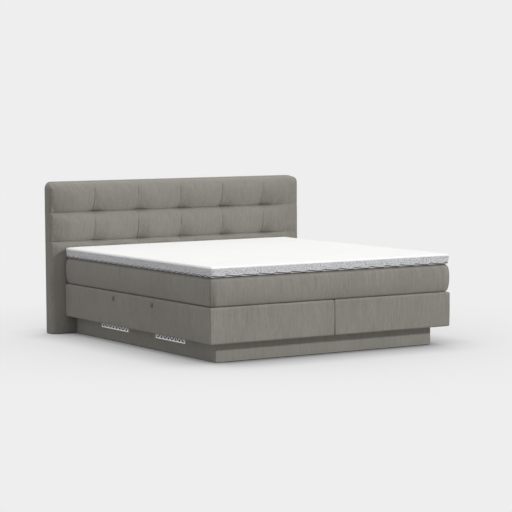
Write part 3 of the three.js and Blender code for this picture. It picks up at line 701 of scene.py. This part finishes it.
def slab_mesh(centre, half_x, half_y, low, high, rounding, z_pitch, inset, seed,
              extra_x=(), extra_y=(), soften=1 * MM):
    """Rounded slab with softly uneven sides, as (places, quads, lattice points)."""
    _, round_low, round_high = rounding
    edge = max(rounding)
    xs = grid_lines(-half_x, half_x, PLAN_PITCH, edge=edge, edge_steps=6, extra=extra_x)
    ys = grid_lines(-half_y, half_y, PLAN_PITCH, edge=edge, edge_steps=6, extra=extra_y)
    zs = grid_lines(low, high, z_pitch, edge=max(round_low, round_high), edge_steps=4)
    lattice, quads = box_lattice(xs, ys, zs)
    placed = round_slab(lattice, half_x, half_y, low, high, rounding, inset)
    wander = np.abs(ripple(placed, 0.22, soften, seed))
    for axis, half in enumerate((half_x, half_y)):
        outward = np.clip(placed[:, axis] / half, -1, 1) ** 9
        placed[:, axis] += centre[axis] - outward * wander
    return placed, quads, lattice


def proud_plan(low, high):
    """Half sizes and centre of a cover that stands PROUD of its solid at the sides and the foot."""
    half_x, half_y = (high.x - low.x) / 2 + PROUD, (high.y - low.y + PROUD) / 2
    return half_x, half_y, ((low.x + high.x) / 2, (low.y + high.y - PROUD) / 2)


def mattress():
    low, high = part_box("mattress_cover")
    half_x, half_y, centre = proud_plan(low, high)
    side_seam = half_x - 12 * MM
    foot_seam = half_y - 8 * MM
    near = (1.2 * MM, 3.2 * MM)

    def inset(points):
        x, y, z = points.T
        share = ramp(z, low.z, high.z - low.z)
        drawn = np.where(share < 0.5, 13 * MM, 10 * MM) * np.abs(2 * share - 1) ** 2.4
        fade = 1 - 0.55 * share
        wall = np.minimum(half_x - np.abs(x), half_y - np.abs(y)) < NEAR
        for seam, value in ((side_seam, x), (foot_seam, y)):
            far = np.abs(np.abs(value) - seam)
            groove = 2.4 * MM * bell(far, 1.7 * MM) + 1 * MM * np.exp(-far / (6 * MM))
            drawn += np.where(wall, fade * groove, 0)
        return drawn

    placed, quads, _ = slab_mesh(
        centre, half_x, half_y, low.z, high.z, (18 * MM, 14 * MM, 23 * MM), 9 * MM, inset, seed=7.0,
        extra_x=beside((-side_seam, side_seam), near), extra_y=beside((-foot_seam, foot_seam), near),
    )
    obj = new_object("mattress", placed, quads, LINEN)
    declare(obj, "lifting_base", "upholstery", "mattress_cover")


TOOTH_PITCH = 5 * MM
TOOTH_WIDE, TOOTH_TALL, TOOTH_DEEP = 3 * MM, 3.4 * MM, 1.2 * MM


def zip_teeth(name, centre, path, level, material, lifts):
    """Row of small moulded teeth along a closed path."""
    points, outward = path
    verts = []
    faces = []
    place = 0.0
    for number, start in enumerate(points):
        following = (number + 1) % len(points)
        span = points[following] - start
        length = span.length
        along = span / length
        while place < length:
            share = place / length
            middle = start + span * share
            direction = outward[number].lerp(outward[following], share)
            raised = level + lifts[number] * (1 - share) + lifts[following] * share
            base = len(verts)
            for out, taper in ((-TOOTH_DEEP, 1.0), (TOOTH_DEEP, 0.5)):
                for side, up in ((-1, -1), (1, -1), (1, 1), (-1, 1)):
                    spot = middle + along * (side * TOOTH_WIDE * taper / 2) + direction * out
                    height = raised + up * TOOTH_TALL * taper / 2
                    verts.append((centre[0] + spot.x, centre[1] + spot.y, height))
            faces.append((base + 4, base + 5, base + 6, base + 7))
            for k in range(4):
                beyond = (k + 1) % 4
                faces.append((base + k, base + beyond, base + 4 + beyond, base + 4 + k))
            faces.append((base + 3, base + 2, base + 1, base))
            place += TOOTH_PITCH
        place -= length
    return new_object(name, verts, faces, material, smooth=False)


def gathered_lifts(points):
    """Heights of the gathered zip along a plan path: it falls away slowly after each quick rise."""
    pitch_across, pitch_along, amount = 118 * MM, 72 * MM, 12 * MM
    turns = [(p.x / pitch_across - p.y / pitch_along) % 1.0 for p in points]
    return [amount * (1 - turn) ** 1.6 * min(1.0, turn * 9) for turn in turns]


def topper():
    low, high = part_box("topper_cover")
    half_x, half_y, centre = proud_plan(low, high)
    edge_top = high.z - 2.5 * MM
    corner = 16 * MM

    def inset(points):
        return 7 * MM * (1 - ramp(points[:, 2], low.z, edge_top - low.z)) ** 2

    placed, quads, lattice = slab_mesh(
        centre, half_x, half_y, low.z, edge_top, (corner, 5 * MM, 13 * MM), 5 * MM, inset, seed=12.0,
    )
    # The top's crown rises slowly from the left and the foot, and quickly from the right and the head
    x, y, z = lattice.T
    reach = np.minimum(half_x + x, half_y + y)
    reach = np.minimum(reach, 7 * np.minimum(half_x - x, half_y - y))
    crown = 4 * MM * ramp(reach, 0, 280 * MM) ** 0.6
    crown += 3.5 * MM * (1 - ramp(half_y - y, 0, 300 * MM)) * ramp(reach, 0, 150 * MM)
    soft = ripple(lattice, 0.34, 1.6 * MM, seed=5.0) * ramp(reach, 0, 100 * MM)
    placed[:, 2] += np.where(z > edge_top - NEAR, crown + np.minimum(soft, 0.3 * MM), 0)
    obj = new_object("topper", placed, quads, TOPPER_WHITE)
    obj.data.materials.append(TOPPER_MESH)
    border_top = edge_top - 11 * MM
    for polygon in obj.data.polygons:
        if polygon.center.z < border_top:
            polygon.material_index = 1
    declare(obj, "lifting_base", "topper_fabric", "topper_cover")

    cord = 1.3 * MM
    seam_path = rounded_path(half_x - cord, half_y - cord, corner, 30 * MM)
    seam = swept_ring("topper_seam", (*centre, border_top), seam_path, circle_profile(cord), TOPPER_WHITE)
    declare(seam, "lifting_base", "topper_fabric")
    zip_in = 5.6 * MM
    zip_level = low.z + 4 * MM
    zip_centre = (*centre, zip_level)
    zip_path = rounded_path(half_x - zip_in, half_y - zip_in, corner, 6 * MM)
    lifts = gathered_lifts(zip_path[0])
    tape = [(-3 * MM, -3.2 * MM), (1 * MM, -3.2 * MM), (1.4 * MM, 2.4 * MM), (-3 * MM, 2.4 * MM)]
    zip_tape = swept_ring("topper_zip_tape", zip_centre, zip_path, tape, ZIP, lifts)
    declare(zip_tape, "lifting_base", "topper_fabric")
    flap = [(1.4 * MM + out, 3.6 * MM + height) for out, height in circle_profile(1.7 * MM)]
    hem = swept_ring("topper_zip_flap", zip_centre, zip_path, flap, TOPPER_MESH, lifts)
    declare(hem, "lifting_base", "topper_fabric")
    teeth = zip_teeth("topper_zip_teeth", centre, zip_path, zip_level, ZIP, lifts)
    declare(teeth, "lifting_base", "topper_fabric")


# Box base covers

def box_cover(label):
    low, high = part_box(f"box_{label}_cover")
    cloth = 2.2 * MM
    half_x, half_y = (high.x - low.x) / 2 + cloth, (high.y - low.y) / 2
    centre = ((low.x + high.x) / 2, (low.y + high.y) / 2)
    hem = 80 * MM
    under = low.z - 2 * MM

    def inset(points):
        share = ramp(points[:, 2], under, high.z - under)
        return 1.6 * MM * (1 - np.sin(np.pi * np.minimum(share, 0.5)) ** 0.8)

    placed, quads, lattice = slab_mesh(
        centre, half_x, half_y, under, high.z - 0.4 * MM, (3 * MM, 10 * MM, 12 * MM), 12 * MM, inset,
        seed=20.0 + half_x, extra_x=(half_x - hem, hem - half_x), extra_y=(half_y - hem, hem - half_y),
        soften=0.9 * MM,
    )
    # The underside is open inside a hem
    reach = np.minimum(half_x - np.abs(lattice[:, 0]), half_y - np.abs(lattice[:, 1]))
    bottom = lattice[:, 2] < under + NEAR
    faces = [q for q in quads if not all(bottom[v] for v in q) or max(reach[v] for v in q) <= hem + NEAR]
    obj = new_object(f"box_{label}_upholstery", placed, faces, LINEN)
    solidify(obj, cloth)
    declare(obj, "lifting_base", "upholstery", f"box_{label}_cover")


# Pull loops

def pull_loop(label):
    """Flat webbing that hangs down, turns up at its foot and leans back to the box at its top."""
    node = f"pull_loop_{label}"
    low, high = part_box(node)
    back, front = high.x, low.x
    radius = (back - front) / 2
    clear = 0.4 * MM
    bend_z = low.z + radius
    bend_steps = 9
    profile = [(back - clear, high.z), (back - clear, bend_z)]
    for step in range(1, bend_steps):
        angle = math.pi * step / bend_steps
        out = radius - (radius - clear) * math.cos(angle)
        profile.append((back - out, bend_z - radius * math.sin(angle)))
    profile += [(front + clear, bend_z), (front + 0.9 * MM, high.z - 14 * MM)]
    profile += [(back - 3 * MM, high.z - 8 * MM), (back - 2.8 * MM, high.z - 1 * MM)]
    verts = []
    columns = 13
    for column in range(columns):
        share = column / (columns - 1)
        y = low.y + (high.y - low.y) * share
        pinch = 0.2 * MM * math.cos(math.pi * (share - 0.5))
        verts += [(x - pinch, y, z) for x, z in profile]
    rows = len(profile)
    faces = [
        (c * rows + r, (c + 1) * rows + r, (c + 1) * rows + r + 1, c * rows + r + 1)
        for c in range(columns - 1) for r in range(rows - 1)
    ]
    obj = new_object(f"pull_loop_{label}_webbing", verts, faces, WEBBING)
    solidify(obj, 1.5 * MM, offset=0)
    declare(obj, "lifting_base", "webbing", node)


# Floor, light and camera

FLOOR_RADIUS = 9.0
FLOOR_GREY = srgb(172, 172, 172)
# Reach and strength of the soft darkening round the bed
WIDE_SHADE = (1.9, 0.5)
CLOSE_SHADE = (0.35, 0.54)
AMBIENT = 0.42
# Direction towards the light, strength, and width in degrees
SUNS = {
    "key": ((0.58, -0.706, 0.407), 1.6, 4),
    "overhead": ((0.05, -0.12, 0.99), 1.6, 30),
    "fill": ((-0.9, -0.2, 0.35), 0.33, 90),
}
# The photo's camera, solved from the bed's corners and edges: yaw, pitch and roll are in degrees
CAMERA_PLACE = (-6.7272, -11.0973, 1.5632)
CAMERA_TURN = (-31.4938, -4.4289, -0.3804)
CAMERA_LENS = 135.81


def stage():
    """Pale floor that shows as the background does, darkened softly round the bed."""
    angles = [math.radians(a) for a in range(0, 360, 5)]
    verts = [(FLOOR_RADIUS * math.cos(a), FLOOR_RADIUS * math.sin(a), 0) for a in angles]
    n = MaterialNodes("studio_floor")
    n.finish(FLOOR_GREY, 0.9)
    shades = []
    for distance, strength in (WIDE_SHADE, CLOSE_SHADE):
        hidden = n.add("ShaderNodeAmbientOcclusion", {"Distance": distance}, samples=12)
        shades.append((n.math("SUBTRACT", 1.0, hidden.outputs["AO"]), strength))
    strength = n.math("SUBTRACT", 1.0, n.weighted(*shades))
    shown = n.add("ShaderNodeEmission", {"Color": BACKGROUND, "Strength": strength})
    n.show(n.shader, shown, "Material Output")
    floor = new_object("studio_floor", verts, [tuple(range(len(verts)))], n.material, smooth=False)


def world():
    """White light from all round, behind a background of one pale grey."""
    studio = bpy.data.worlds.new("studio")
    bpy.context.scene.world = studio
    studio.use_nodes = True
    n = Nodes(studio.node_tree)
    lit = n.tree.nodes["Background"]
    n.feed(lit.inputs["Color"], (1, 1, 1, 1))
    n.feed(lit.inputs["Strength"], AMBIENT)
    shown = n.add("ShaderNodeBackground", {"Color": BACKGROUND, "Strength": 1.0})
    n.show(lit, shown, "World Output")


def sun(name, direction, strength, angle):
    light = bpy.data.lights.new(name, "SUN")
    light.energy = strength
    light.angle = math.radians(angle)
    obj = bpy.data.objects.new(name, light)
    obj.rotation_euler = Vector(direction).to_track_quat("Z", "Y").to_euler()
    bpy.context.scene.collection.objects.link(obj)


def camera():
    yaw, pitch, roll = (math.radians(v) for v in CAMERA_TURN)
    forward = Vector((-math.sin(yaw) * math.cos(pitch), math.cos(yaw) * math.cos(pitch), math.sin(pitch)))
    level = Vector((math.cos(yaw), math.sin(yaw), 0))
    upright = level.cross(forward)
    right = level * math.cos(roll) + upright * math.sin(roll)
    up = upright * math.cos(roll) - level * math.sin(roll)
    view = bpy.data.cameras.new("photo_camera")
    view.sensor_width = 36
    view.lens = CAMERA_LENS
    view.clip_end = 100
    obj = bpy.data.objects.new("photo_camera", view)
    turned = Matrix((right, up, -forward)).transposed().to_4x4()
    obj.matrix_world = Matrix.Translation(Vector(CAMERA_PLACE)) @ turned
    bpy.context.scene.collection.objects.link(obj)
    bpy.context.scene.camera = obj


headboard_pad()
mattress()
topper()
for half_label in ("left", "right"):
    box_cover(half_label)
for loop_label in ("foot", "head"):
    pull_loop(loop_label)
stage()
world()
for sun_name, values in SUNS.items():
    sun(sun_name, *values)
camera()
bpy.context.scene.view_settings.view_transform = "Standard"
